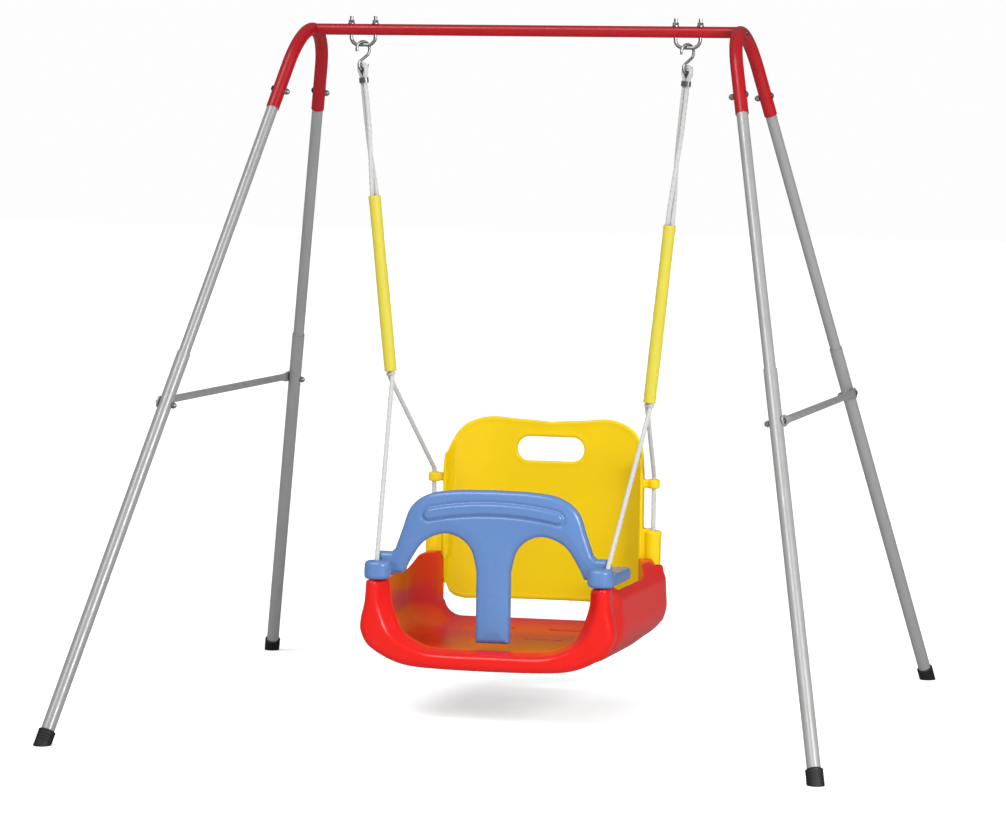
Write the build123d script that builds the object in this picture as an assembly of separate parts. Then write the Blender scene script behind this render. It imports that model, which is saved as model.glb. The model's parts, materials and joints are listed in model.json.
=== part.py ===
from build123d import *
import os
from math import acos, asin, atan2, cos, pi, radians, sin, sqrt

# Toddler swing set: a free-standing steel A-frame with one hanging bucket seat.
# Millimetres. The origin is on the floor under the middle of the top bar; +X runs along
# the bar, +Z is up, and a child in the seat faces -Y.

# ---------------------------------------------------------------- driving dimensions
BAR_Z = 1150.0          # height of the top bar's axis
BAR_R = 9.5             # 19 mm tube
TUBE_WALL = 1.2
UPPER_R = 9.5           # upper leg tubes, 19 mm
LOWER_R = 11.0          # lower leg tubes and the bent apex tubes, 22 mm
SLEEVE_R = LOWER_R - TUBE_WALL
FOOT_X = 620.0          # where a leg's axis meets the floor
FOOT_Y = 630.0
CROWN_X = 369.0         # middle of the bent apex tube
BEND_R = 110.0          # its bend, at the tube's axis
RED_END = 1151.0        # distances along a leg from the floor
LEG_JOINT = 694.0
SPREADER_AT = 602.0
APEX_BOLT_AT = 1185.0
TUBE_ENGAGE = 75.0      # how far one tube goes into the next
FOOT_CLEAR = 12.0       # end of the leg tube above the floor, along the leg
CAP_R = 14.3            # rubber foot caps
CAP_LENGTH = 35.0
CAP_BELOW = 8.0
SPREADER_R = 6.0
SPREADER_PLATE = 2.6    # its flattened ends
SPREADER_TAB_R = 9.0
SPREADER_OFF = LOWER_R + 0.05 + SPREADER_PLATE / 2
BOLT_R = 3.0
BOLT_PAST = 6.5         # how far a cross bolt reaches past the tube
HEAD_R = 5.4            # low domed bolt heads
HEAD_H = 3.2
NUT_FLATS = 9.0
NUT_H = 4.5
NUT_DOME = 3.6
HOLE_R = 3.2
CONTACT = 0.05          # gap left between parts that touch

CROWN_Z = BAR_Z         # the bar butts against the middle of each bend
PLUG_LENGTH = 24.0      # threaded plug inside each end of the bar
CROWN_BOLT_IN = 16.0    # how far a crown bolt reaches into its plug

HANGER_X = 280.0        # U-bolt hangers
HANGER_HALF = 21.0
HANGER_R = 3.0
HANGER_DROP = 26.0      # from the bar's axis to the axis of the U-bolt's lower wire
HANGER_BEND = 13.0

HOOK_R = 2.5            # S-hook wire
HOOK_TOP = 13.0         # loop radii at the wire's axis
HOOK_LOW = 8.5
HOOK_SPAN = 26.5
HOOK_YAW = 50.0         # the hook's plane stands this far off the bar's direction
PIVOT_Z = BAR_Z - HANGER_DROP
HOOK_RISE = HANGER_R + HOOK_R + CONTACT
EYE_Z = PIVOT_Z + HOOK_RISE - HOOK_TOP - HOOK_SPAN - HOOK_LOW

ROPE_R = 4.0
EYE_R = 4.0             # inside of the thimble
THIMBLE_T = 0.8
THIMBLE_W = 6.5
THIMBLE_TIP = 7.0
EYE_LENGTH = 11.0       # where the two strands come together below the eye
FERRULE_AT = EYE_LENGTH + 2
FERRULE_LENGTH = 9.0
STRAND_GAP = 0.12
STRAND = ROPE_R + STRAND_GAP / 2     # from the rope's middle to either strand's axis
LOOP_R = EYE_R + THIMBLE_T + ROPE_R + 1.5
KNOT_R = 8.5
CLAMP_LENGTH = 6.0
CLAMP_ABOVE_SPLIT = 8.0
SPLIT_X = 224.0
SPLIT_Z = {-1: 562.0, 1: 521.0}   # where the two strands part, left and right
GRIP_LENGTH = 300.0
GRIP_IN = 8.6
GRIP_OUT = 10.8
GRIP_ABOVE_SPLIT = 9.0

POST_X = 193.0          # the seat's four rope posts
FRONT_Y = -200.0
REAR_X = 196.0
REAR_Y = 195.0
REAR_POST_R = 18.0
REAR_POST_TOP = 236.0
ROPE_HOLE_R = ROPE_R + 0.6
KNOT_HOLE_R = 10.0
KNOT_BELOW_RIM = {FRONT_Y: 74.0, REAR_Y: 60.0}
RIM_Z = 237.0
RIM_REAR_Z = 250.0
SEAT_BOTTOM = 92.0
FRAME_T = 40.0          # front frame, in Y
TUB_X = 210.0           # outside of the side walls at the front
TUB_FLARE = 8.0         # how much wider each side is at the rear
TUB_WALL = 9.0
TUB_CORNER = 66.0
TUB_BOTTOM = 95.0
TUB_END = REAR_Y + 18
SHOULDER_Z = 213.0      # where the side walls start to lean in
SHOULDER_IN = 13.0
FLOOR_Z = 121.0
FLOOR_RISE = 13.0       # lift of the floor at its rear edge
REAR_HALF_IN = 173.0    # half width inside, between the rear posts

BACK_T = 5.0            # backrest
BACK_LOW = 161.0
BACK_TOP = 482.0
BACK_MID_Y = 256.0
WING_X = 178.0
WING_Y = 190.0
SLOT_Z = 427.0
LUG_Z = 377.0
LUG_R = 10.0
TAB_LOW = REAR_POST_TOP + 0.3
TAB_HIGH = 298.0

TBAR_Y = -162.0
TBAR_T = 26.0
TBAR_LOW = RIM_Z + 1.2  # underside of the caps that sit on the front posts
TBAR_CAP_X = 189.0
TBAR_CAP_R = 19.0
TBAR_CAP_TOP = 269.0
TBAR_SHELF_Z = 281.0
TBAR_SHELF_X = 199.0
TBAR_TAIL_TOP = 258.0
TBAR_TAIL_END = -62.0
TBAR_TRAVEL = 100.0
HOLE_STEPS = 9

SIDES = {"left": -1, "right": 1}
ENDS = {"front": -1, "back": 1}


# ---------------------------------------------------------------- small tools
def rod(start, end, radius):
    """Solid cylinder between two points."""
    a, b = Vector(*start), Vector(*end)
    return Plane(origin=a, z_dir=b - a) * Cylinder(
        radius, (b - a).length, align=(Align.CENTER, Align.CENTER, Align.MIN)
    )


def tube(start, end, outer, inner):
    return rod(start, end, outer) - rod(start, end, inner)


def along(point, direction, distance):
    p, d = Vector(*point), Vector(*direction)
    return tuple(p + d.normalized() * distance)


def curved_prism(wire_parts, plane, low, high):
    """Closed outline drawn on a plane and extruded between two offsets along its normal."""
    face = make_face(Curve() + wire_parts)
    return plane.offset(low) * extrude(face, high - low)


def hexagon(centre, direction, across_flats, height, hole):
    """A hexagonal nut or bolt head standing on centre, pointing along direction."""
    body = extrude(RegularPolygon(across_flats / 2, 6, major_radius=False), height)
    if hole:
        body -= Cylinder(hole, height * 3)
    return Plane(origin=Vector(*centre), z_dir=Vector(*direction)) * body


def washer(centre, direction, outer, inner, thickness):
    body = Cylinder(outer, thickness, align=(Align.CENTER, Align.CENTER, Align.MIN))
    body -= Cylinder(inner, thickness * 3)
    return Plane(origin=Vector(*centre), z_dir=Vector(*direction)) * body


def dome(centre, direction, radius, height):
    """A low rounded bolt head standing on centre."""
    ball = (radius**2 + height**2) / (2 * height)
    cap = Pos(0, 0, height - ball) * Sphere(ball)
    cap &= Cylinder(radius, height, align=(Align.CENTER, Align.CENTER, Align.MIN))
    return Plane(origin=Vector(*centre), z_dir=Vector(*direction)) * cap


def rope_solid(points, radius=ROPE_R):
    """A rope drawn as straight runs with a ball at each bend."""
    shape = rod(points[0], points[1], radius)
    for a, b in zip(points[1:], points[2:]):
        shape += Pos(*a) * Sphere(radius)
        shape += rod(a, b, radius)
    return shape


def group(shapes):
    return Compound(children=[s for shape in shapes for s in shape.solids()])


# ---------------------------------------------------------------- leg geometry
LEG_RISE = sqrt((FOOT_X - CROWN_X) ** 2 + CROWN_Z**2)   # floor to crown, in the leg plane
ARC_S = LEG_RISE - BEND_R
REACH = sqrt(FOOT_Y**2 + ARC_S**2)
LEG_TILT = atan2(FOOT_Y, ARC_S) - asin(BEND_R / REACH)  # off the plane's upright
TANGENT_Y = BEND_R * cos(LEG_TILT)
TANGENT_S = ARC_S + BEND_R * sin(LEG_TILT)


def leg_plane(side):
    """Plane holding the two legs and the bend of one side: x along Y, y up the frame."""
    upright = Vector(side * (CROWN_X - FOOT_X), 0, CROWN_Z).normalized()
    return Plane(
        origin=(side * FOOT_X, 0, 0),
        x_dir=(0, 1, 0),
        z_dir=Vector(0, 1, 0).cross(upright),
    )


def outward(side):
    """Unit normal of a leg plane, pointing away from the seat."""
    return tuple(leg_plane(side).z_dir * side)


def leg_point(side, end, distance):
    """Point on a leg's axis at a distance up from the floor."""
    local = Vector(
        end * (FOOT_Y - distance * sin(LEG_TILT)), distance * cos(LEG_TILT), 0
    )
    return tuple(leg_plane(side).from_local_coords(local))


def leg_direction(side, end):
    return tuple(Vector(*leg_point(side, end, 1)) - Vector(*leg_point(side, end, 0)))


def cross_hole(side, point, length=60):
    """Cutter for a bolt hole square to the leg plane."""
    n = outward(side)
    return rod(along(point, n, -length / 2), along(point, n, length / 2), HOLE_R)


# ---------------------------------------------------------------- frame
def bend_sweep(side, radius):
    """Solid of the given radius along the bent tube's axis, from one tube end to the other."""
    plane = leg_plane(side)
    ends = [
        (end * (FOOT_Y - RED_END * sin(LEG_TILT)), RED_END * cos(LEG_TILT)) for end in (-1, 1)
    ]
    turn = [(-TANGENT_Y, TANGENT_S), (0, LEG_RISE), (TANGENT_Y, TANGENT_S)]
    path = Curve() + [
        Line(ends[0], turn[0]),
        ThreePointArc(*turn),
        Line(turn[2], ends[1]),
    ]
    start = Vector(*leg_point(side, -1, RED_END))
    section = Plane(origin=start, z_dir=Vector(*leg_direction(side, -1)))
    return sweep(section * Circle(radius), path=Wire((plane * path).edges()))


def top_bar():
    """Straight tube, its ends cut to saddle the bends it butts against."""
    bar = tube((-CROWN_X, 0, BAR_Z), (CROWN_X, 0, BAR_Z), BAR_R, BAR_R - TUBE_WALL)
    for side in SIDES.values():
        bar -= bend_sweep(side, LOWER_R + CONTACT)
    for x in hanger_points():
        bar -= Pos(x, 0, BAR_Z) * Cylinder(HOLE_R, 4 * BAR_R)
    return bar


def apex_bend(side):
    """Bent tube over the top: takes one upper leg in each end."""
    bend = bend_sweep(side, LOWER_R) - bend_sweep(side, SLEEVE_R)
    for end in ENDS.values():
        bend -= cross_hole(side, leg_point(side, end, APEX_BOLT_AT))
    near, far = side * (CROWN_X - 2 * LOWER_R), side * (CROWN_X + 2 * LOWER_R)
    return bend - rod((near, 0, CROWN_Z), (far, 0, CROWN_Z), HOLE_R)


def upper_leg(side, end):
    """Plain tube from inside the apex bend to inside the lower leg."""
    top = leg_point(side, end, RED_END + TUBE_ENGAGE)
    bottom = leg_point(side, end, SPREADER_AT - 20)
    leg = tube(bottom, top, UPPER_R, UPPER_R - TUBE_WALL)
    leg -= cross_hole(side, leg_point(side, end, APEX_BOLT_AT))
    leg -= cross_hole(side, leg_point(side, end, SPREADER_AT))
    return leg


def lower_leg(side, end):
    bottom = leg_point(side, end, FOOT_CLEAR)
    top = leg_point(side, end, LEG_JOINT)
    leg = tube(bottom, top, LOWER_R, SLEEVE_R)
    leg -= cross_hole(side, leg_point(side, end, SPREADER_AT))
    return leg


def foot_cap(side, end):
    """Rubber cap pushed over a leg, with a flat cut where it stands on the floor."""
    cap = Cylinder(CAP_R, CAP_LENGTH, align=(Align.CENTER, Align.CENTER, Align.MIN))
    cap = fillet(cap.edges().filter_by(GeomType.CIRCLE), 4)
    cap -= Pos(0, 0, FOOT_CLEAR + CAP_BELOW) * Cylinder(
        LOWER_R, CAP_LENGTH, align=(Align.CENTER, Align.CENTER, Align.MIN)
    )
    direction = leg_direction(side, end)
    cap = Plane(origin=leg_point(side, end, -CAP_BELOW), z_dir=Vector(*direction)) * cap
    x, y = side * FOOT_X, end * FOOT_Y
    floor = Pos(x, y, -30) * Box(120, 120, 60)
    return cap - floor


def spreader(side):
    """Cross tube between the front and back leg, pressed flat and bolted at both ends."""
    n = outward(side)
    front = along(leg_point(side, -1, SPREADER_AT), n, SPREADER_OFF)
    back = along(leg_point(side, 1, SPREADER_AT), n, SPREADER_OFF)
    span = back[1]
    middle = Plane(origin=(front[0], 0, front[2]), x_dir=(0, 1, 0), z_dir=Vector(*n))
    flat_at, round_at = span - 14, span - 40
    bar = middle * (Rot(0, 90, 0) * Cylinder(SPREADER_R, 2 * round_at))
    bar -= middle * (Rot(0, 90, 0) * Cylinder(SPREADER_R - 1, 2 * round_at))
    for end in (-1, 1):
        round_end = Plane(origin=(end * round_at, 0, 0), x_dir=(0, 1, 0), z_dir=(end, 0, 0))
        flat_end = Plane(origin=(end * flat_at, 0, 0), x_dir=(0, 1, 0), z_dir=(end, 0, 0))
        ramp = loft(
            [
                round_end * Circle(SPREADER_R),
                flat_end * Ellipse(SPREADER_TAB_R, SPREADER_PLATE / 2),
            ]
        )
        tab = Pos(end * (flat_at + span) / 2, 0, 0) * Box(
            span - flat_at + 6, 2 * SPREADER_TAB_R, SPREADER_PLATE
        )
        tab += Pos(end * span, 0, 0) * Cylinder(SPREADER_TAB_R, SPREADER_PLATE)
        tab -= Pos(end * span, 0, 0) * Cylinder(HOLE_R, 20)
        bar += middle * (ramp + tab)
    return bar


def cross_bolt(side, point, outer, inner):
    """Bolt square to the leg plane: dome head outside, plain end inside."""
    n = outward(side)
    head = along(point, n, outer)
    bolt = rod(along(point, n, -inner - BOLT_PAST), along(point, n, outer + 0.5), BOLT_R)
    return bolt + dome(head, n, HEAD_R, HEAD_H)


def cap_nut(side, point, inner):
    """Domed nut cap on the inner end of a cross bolt."""
    inward = tuple(-Vector(*outward(side)))
    seat = along(point, inward, inner)
    nut = hexagon(seat, inward, NUT_FLATS, NUT_H, 0)
    nut += dome(along(seat, inward, NUT_H), inward, NUT_FLATS / 2 - 0.1, NUT_DOME)
    bore = rod(along(seat, inward, -1), along(seat, inward, BOLT_PAST + 0.3), BOLT_R + 0.02)
    return nut - bore


def cross_points(distance):
    return [(s, leg_point(s, e, distance)) for s in SIDES.values() for e in ENDS.values()]


def apex_bolts():
    return group([cross_bolt(s, p, LOWER_R, LOWER_R) for s, p in cross_points(APEX_BOLT_AT)])


def apex_nuts():
    return group([cap_nut(s, p, LOWER_R + CONTACT) for s, p in cross_points(APEX_BOLT_AT)])


def spreader_bolts():
    out = LOWER_R + 2 * CONTACT + SPREADER_PLATE
    return group([cross_bolt(s, p, out, LOWER_R) for s, p in cross_points(SPREADER_AT)])


def spreader_nuts():
    return group([cap_nut(s, p, LOWER_R + CONTACT) for s, p in cross_points(SPREADER_AT)])


def crown_bolts():
    """Level bolts through the bends into the plugs in the bar's ends."""
    bolts = []
    for side in SIDES.values():
        head = side * (CROWN_X + LOWER_R + CONTACT)
        tip = side * (CROWN_X - LOWER_R - CROWN_BOLT_IN)
        bolt = rod((tip, 0, CROWN_Z), (head + side * 0.5, 0, CROWN_Z), BOLT_R)
        bolts.append(bolt + dome((head, 0, CROWN_Z), (side, 0, 0), HEAD_R, HEAD_H))
    return group(bolts)


def bar_end_plugs():
    plugs = []
    for side in SIDES.values():
        face = side * (CROWN_X - LOWER_R - 2 * CONTACT)
        ends = (face, 0, BAR_Z), (face - side * PLUG_LENGTH, 0, BAR_Z)
        plugs.append(tube(*ends, BAR_R - TUBE_WALL - CONTACT, BOLT_R + 0.02))
    return group(plugs)


# ---------------------------------------------------------------- hangers and hooks
def u_bolt(side):
    """U-bolt through the bar; its lower wire is what the S-hook swings on."""
    x, top = side * HANGER_X, BAR_Z + BAR_R + 13
    low, b, w = PIVOT_Z, HANGER_BEND, HANGER_HALF
    left, right = x - w, x + w
    plane = Plane.XZ
    knee = b * (1 - cos(pi / 4))
    path = Curve() + [
        Line((left, top), (left, low + b)),
        ThreePointArc((left, low + b), (left + knee, low + knee), (left + b, low)),
        Line((left + b, low), (right - b, low)),
        ThreePointArc((right - b, low), (right - knee, low + knee), (right, low + b)),
        Line((right, low + b), (right, top)),
    ]
    path = plane * path
    section = Plane(origin=(left, 0, top), z_dir=(0, 0, -1)) * Circle(HANGER_R)
    return sweep(section, path=Wire(path.edges()))


def hanger_points():
    return [
        side * HANGER_X + step * HANGER_HALF for side in SIDES.values() for step in (-1, 1)
    ]


def hanger_washers():
    top = BAR_Z + BAR_R + CONTACT
    return group(
        [washer((x, 0, top), (0, 0, 1), 6.0, HANGER_R + 0.05, 1.2) for x in hanger_points()]
    )


def hanger_nuts():
    top = BAR_Z + BAR_R + 1.3
    return group(
        [hexagon((x, 0, top), (0, 0, 1), NUT_FLATS, 5, HANGER_R + 0.02) for x in hanger_points()]
    )


def hook_direction():
    return (cos(radians(HOOK_YAW)), sin(radians(HOOK_YAW)), 0)


def s_hook(side):
    """Open S of round wire: the top loop sits on the U-bolt, the low loop holds the rope."""
    plane = Plane(
        origin=(side * HANGER_X, 0, PIVOT_Z + HOOK_RISE - HOOK_TOP),
        x_dir=hook_direction(),
        z_dir=Vector(*hook_direction()).cross(Vector(0, 0, 1)),
    )
    cross = acos((HOOK_TOP + HOOK_LOW) / HOOK_SPAN)
    upper, lower = (0, 0), (0, -HOOK_SPAN)

    def spot(centre, radius, angle):
        return (centre[0] + radius * cos(angle), centre[1] + radius * sin(angle))

    leave = -pi / 2 + cross
    meet = pi / 2 + cross
    tip_top, tip_low = radians(195), radians(370)
    path = Curve() + [
        ThreePointArc(
            spot(upper, HOOK_TOP, tip_top),
            spot(upper, HOOK_TOP, (tip_top + leave) / 2),
            spot(upper, HOOK_TOP, leave),
        ),
        Line(spot(upper, HOOK_TOP, leave), spot(lower, HOOK_LOW, meet)),
        ThreePointArc(
            spot(lower, HOOK_LOW, meet),
            spot(lower, HOOK_LOW, (meet + tip_low) / 2),
            spot(lower, HOOK_LOW, tip_low),
        ),
    ]
    start = plane.from_local_coords(Vector(*spot(upper, HOOK_TOP, tip_top), 0))
    tangent = Vector(sin(tip_top), -cos(tip_top), 0)
    toward = plane.from_local_coords(Vector(*spot(upper, HOOK_TOP, tip_top), 0) + tangent)
    section = Plane(origin=start, z_dir=toward - start) * Circle(HOOK_R)
    return sweep(section, path=Wire((plane * path).edges()))


# ---------------------------------------------------------------- ropes
def rope_plane(side):
    """Plane through a rope's eye: x across the two strands, y up the rope."""
    eye = Vector(side * HANGER_X, 0, EYE_Z)
    split = Vector(side * SPLIT_X, 0, SPLIT_Z[side])
    up = (eye - split).normalized()
    across = Vector(-sin(radians(HOOK_YAW)), cos(radians(HOOK_YAW)), 0)
    across = (across - up * across.dot(up)).normalized()
    return Plane(origin=eye, x_dir=across, z_dir=across.cross(up))


def rope_length(side):
    eye = Vector(side * HANGER_X, 0, EYE_Z)
    return (eye - Vector(side * SPLIT_X, 0, SPLIT_Z[side])).length


def on_rope(side, across, down):
    return tuple(rope_plane(side).from_local_coords(Vector(across, -down, 0)))


def rope(side):
    """One rope folded in two over the thimble; the strands part low down."""
    length = rope_length(side)
    front_knot = (side * POST_X, FRONT_Y, RIM_Z - KNOT_BELOW_RIM[FRONT_Y])
    back_knot = (side * REAR_X, REAR_Y, RIM_Z - KNOT_BELOW_RIM[REAR_Y])
    front = [
        on_rope(side, -LOOP_R, 0),
        on_rope(side, -STRAND, EYE_LENGTH),
        on_rope(side, -STRAND, length),
        (side * POST_X, FRONT_Y, RIM_Z + 1),
        front_knot,
    ]
    back = [
        on_rope(side, LOOP_R, 0),
        on_rope(side, STRAND, EYE_LENGTH),
        on_rope(side, STRAND, length),
        (side * REAR_X, REAR_Y, LUG_Z + 14),
        back_knot,
    ]
    loop = Torus(LOOP_R, ROPE_R) & (Pos(0, 50, 0) * Box(100, 100, 100))
    shape = rope_plane(side) * loop
    shape += rope_solid(front) + rope_solid(back)
    for strand in (front, back):
        shape += Pos(*strand[0]) * Sphere(ROPE_R)
    for knot in (front_knot, back_knot):
        shape += Pos(*knot) * Sphere(KNOT_R)
    return shape


def thimble(side):
    """Teardrop of steel strip that lines the rope's eye."""
    out, tip = EYE_R + THIMBLE_T, THIMBLE_TIP
    outer = Circle(out)
    outer += make_face(Polyline((-out, 0), (out, 0), (0.7, -tip), (-0.7, -tip), close=True))
    inner = Circle(EYE_R)
    inner += make_face(
        Polyline((-EYE_R, 0), (EYE_R, 0), (0.3, -tip + 2.5), (-0.3, -tip + 2.5), close=True)
    )
    ring = extrude(outer - inner, THIMBLE_W / 2, both=True)
    return rope_plane(side) * ring


def oval_ring(side, down, length, wall):
    """Clamp pressed round both strands."""
    clear = ROPE_R + 0.15
    plane = Plane(
        origin=on_rope(side, 0, down),
        x_dir=rope_plane(side).x_dir,
        z_dir=rope_plane(side).y_dir,
    )
    outer = SlotCenterToCenter(2 * STRAND, 2 * (clear + wall))
    inner = SlotCenterToCenter(2 * STRAND, 2 * clear)
    return plane * extrude(outer - inner, -length)


def ferrule(side):
    return oval_ring(side, FERRULE_AT, FERRULE_LENGTH, 1.6)


def strand_clamp(side):
    return oval_ring(side, rope_length(side) - CLAMP_ABOVE_SPLIT, CLAMP_LENGTH, 1.8)


def grip(side):
    """Soft sleeve round both strands, free to slide up the rope."""
    low = rope_length(side) - GRIP_ABOVE_SPLIT
    return tube(
        on_rope(side, 0, low), on_rope(side, 0, low - GRIP_LENGTH), GRIP_OUT, GRIP_IN
    )


# ---------------------------------------------------------------- seat
def both_sides(edges):
    """The edges and their mirror images in the swing's middle plane."""
    return edges + [mirror(edge, about=Plane.YZ) for edge in edges]


def front_frame():
    """Deep U across the front: two posts joined by a low bar, widest near the floor."""
    outer = [(206, RIM_Z), (209, 200), (216, 160), (205, 131), (155, 102), (90, SEAT_BOTTOM)]
    inner = [(60, 126), (100, 128), (149, 155), (167, 200), (170, RIM_Z)]
    half = [
        Spline(*outer, tangents=((0, -1), (-1, 0))),
        Spline(*inner),
        Line(inner[-1], outer[0]),
        Line(outer[-1], (0, SEAT_BOTTOM)),
        Line(inner[0], (0, inner[0][1])),
    ]
    wall = curved_prism(both_sides(half), Plane.XZ, 0, FRAME_T)
    return Pos(0, FRONT_Y + FRAME_T / 2, 0) * wall


def u_section(half_x, bottom, corner):
    """Face with the tub's U-shaped cross-section, tall enough to be open at the top."""
    top = 400
    blank = Pos(0, (top + bottom) / 2) * Rectangle(2 * half_x, top - bottom)
    return fillet(blank.vertices().group_by(Axis.Y)[0], corner)


def channel(stations, bottom, corner):
    """Solid U-section channel through (y, half width) stations."""
    return loft(
        [Plane.XZ.offset(-y) * u_section(half_x, bottom, corner) for y, half_x in stations],
        ruled=True,
    )


def side_profile(rim_front, rim_rear, bottom, rise, low_y, rear_y):
    """Side view of the tub: level rim that rises to the rear, bottom that lifts a little."""
    view = [
        Line((low_y, rim_front), (-60, rim_front)),
        Spline((-60, rim_front), (30, rim_front + 4), (120, rim_rear), (rear_y, rim_rear)),
        Line((rear_y, rim_rear), (rear_y, bottom + rise)),
        Spline((rear_y, bottom + rise), (rear_y - 80, bottom + rise / 3), (rear_y - 190, bottom)),
        Line((rear_y - 190, bottom), (low_y, bottom)),
        Line((low_y, bottom), (low_y, rim_front)),
    ]
    return curved_prism(view, Plane.YZ, -260, 260)


def shoulder_cut(side):
    """Wedge taken off a side wall above its shoulder, so that the wall leans in to the rim."""
    faces = []
    for y, half_x in ((FRONT_Y + 25, TUB_X), (TUB_END + 1, TUB_X + TUB_FLARE)):
        wedge = Polyline(
            (side * (half_x + 1), SHOULDER_Z),
            (side * (half_x + 1), RIM_REAR_Z + 30),
            (side * (half_x - 2 * SHOULDER_IN), RIM_REAR_Z + 30),
            (side * (half_x - SHOULDER_IN), RIM_Z + 2),
            close=True,
        )
        faces.append(Plane.XZ.offset(-y) * make_face(wedge))
    return loft(faces)


def tub():
    """Side walls and floor behind the front frame; the walls thicken towards the rear posts."""
    start = FRONT_Y + 5
    outside = channel([(start, TUB_X), (TUB_END, TUB_X + TUB_FLARE)], TUB_BOTTOM, TUB_CORNER)
    outside &= side_profile(RIM_Z - 1, RIM_REAR_Z, TUB_BOTTOM, 6, start, TUB_END)
    inside = channel(
        [
            (FRONT_Y - 30, TUB_X - TUB_WALL - 1),
            (60, TUB_X - TUB_WALL + 3),
            (REAR_Y - 10, REAR_HALF_IN),
            (TUB_END + 30, REAR_HALF_IN),
        ],
        FLOOR_Z,
        TUB_CORNER - 8,
    )
    above_floor = side_profile(400, 500, FLOOR_Z, FLOOR_RISE, FRONT_Y - 40, TUB_END + 40)
    walls = outside - (inside & above_floor)
    for side in SIDES.values():
        walls -= shoulder_cut(side)
    return walls


def floor_cuts():
    """Drain slots through the floor, and the ribbed hollow under it."""
    cuts = []
    for side in SIDES.values():
        for slot_x, slot_y in ((46, 15), (66, 125)):
            cuts.append(Pos(side * slot_x, slot_y, SEAT_BOTTOM + 8) * extrude(SlotOverall(70, 8), 60))
    for bay in range(3):
        y = -115 + bay * 98
        cuts.append(Pos(0, y, SEAT_BOTTOM) * Box(270, 88, 2 * (FLOOR_Z - SEAT_BOTTOM - 6)))
    return cuts


def rope_bores(x, y):
    """A rope's way down through a post, with room for its knot below."""
    knot_top = RIM_Z - KNOT_BELOW_RIM[y] + KNOT_R + 4
    return rod((x, y, 60), (x, y, 300), ROPE_HOLE_R) + rod((x, y, 60), (x, y, knot_top), KNOT_HOLE_R)


def seat_shell():
    """One-piece moulded bucket: front frame, side walls, floor and two rear rope posts."""
    shell = front_frame() + tub()
    for side in SIDES.values():
        x = side * REAR_X
        post = rod((x, REAR_Y, SEAT_BOTTOM + 44), (x, REAR_Y, REAR_POST_TOP), REAR_POST_R)
        shell += fillet(post.edges().group_by(Axis.Z)[0], 8)
    # The tops of the rear posts are flat, and the backrest stands in a rebate between them.
    shell -= Pos(0, REAR_Y, REAR_POST_TOP + 50) * Box(500, 40, 100)
    shell -= Pos(0, WING_Y + 58, BACK_LOW + 98) * Box(2 * WING_X + 5, 120, 200)
    for side in SIDES.values():
        shell -= rope_bores(side * POST_X, FRONT_Y)
        shell -= rope_bores(side * REAR_X, REAR_Y)
    for cut in floor_cuts():
        shell -= cut
    return shell


# ---------------------------------------------------------------- backrest
def back_sheet():
    """Upright curved sheet: shallow curve across the back, turned forward at the sides."""
    turn = (WING_X - 5, WING_Y + 25)
    start_back = (WING_X - 16, WING_Y + 36)
    wings = [
        Line((WING_X, 120), (WING_X, WING_Y + 10)),
        ThreePointArc((WING_X, WING_Y + 10), turn, start_back),
    ]
    across = [
        ThreePointArc((-start_back[0], start_back[1]), (0, BACK_MID_Y), start_back),
        Line((-WING_X, 120), (WING_X, 120)),
    ]
    outside = make_face(Curve() + (both_sides(wings) + across))
    sheet = extrude(outside - offset(outside, -BACK_T), BACK_TOP + 10 - BACK_LOW)
    sheet -= Box(600, 2 * WING_Y, 2000)
    return Pos(0, 0, BACK_LOW) * sheet


def back_outline():
    """Front view of the backrest: broad rounded top with a slight dip, nearly square foot."""
    top = [
        (0, BACK_TOP - 7),
        (60, BACK_TOP - 3),
        (110, BACK_TOP),
        (149, BACK_TOP - 14),
        (170, BACK_TOP - 43),
        (179, BACK_TOP - 87),
    ]
    foot = [(179, 262), (177, 225), (175, 192), (168, 169), (148, BACK_LOW)]
    half = [
        Spline(*top),
        Line(top[-1], foot[0]),
        Spline(*foot),
        Line(foot[-1], (0, BACK_LOW)),
    ]
    return curved_prism(both_sides(half), Plane.XZ, -320, -60)


def backrest():
    """Sheet with a hand slot, two rope lugs, and a tab on each rear post of the seat."""
    sheet = back_sheet() & back_outline()
    slot = Plane.XZ.offset(-200) * extrude(SlotOverall(119, 42), -100)
    sheet -= Pos(0, 0, SLOT_Z) * slot
    for side in SIDES.values():
        x = side * REAR_X
        lug = rod((x, REAR_Y, LUG_Z - 8), (x, REAR_Y, LUG_Z + 8), LUG_R)
        lug += Pos(side * 184, REAR_Y + 2, LUG_Z) * Box(16, 16, 14)
        tab = rod((x, REAR_Y, TAB_LOW), (x, REAR_Y, TAB_HIGH - 2), 15)
        tab += Pos(side * 182, REAR_Y + 4, (TAB_LOW + TAB_HIGH) / 2) * Box(16, 26, TAB_HIGH - TAB_LOW)
        sheet += lug + tab
        sheet -= rod((x, REAR_Y, 200), (x, REAR_Y, 420), ROPE_HOLE_R)
        # A rebate round the raised rear end of the side wall.
        wall = Pos(side * (TUB_X + TUB_FLARE + 5), REAR_Y - 30, RIM_REAR_Z)
        sheet -= wall * Box(30, 90, 70)
    return sheet


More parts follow.
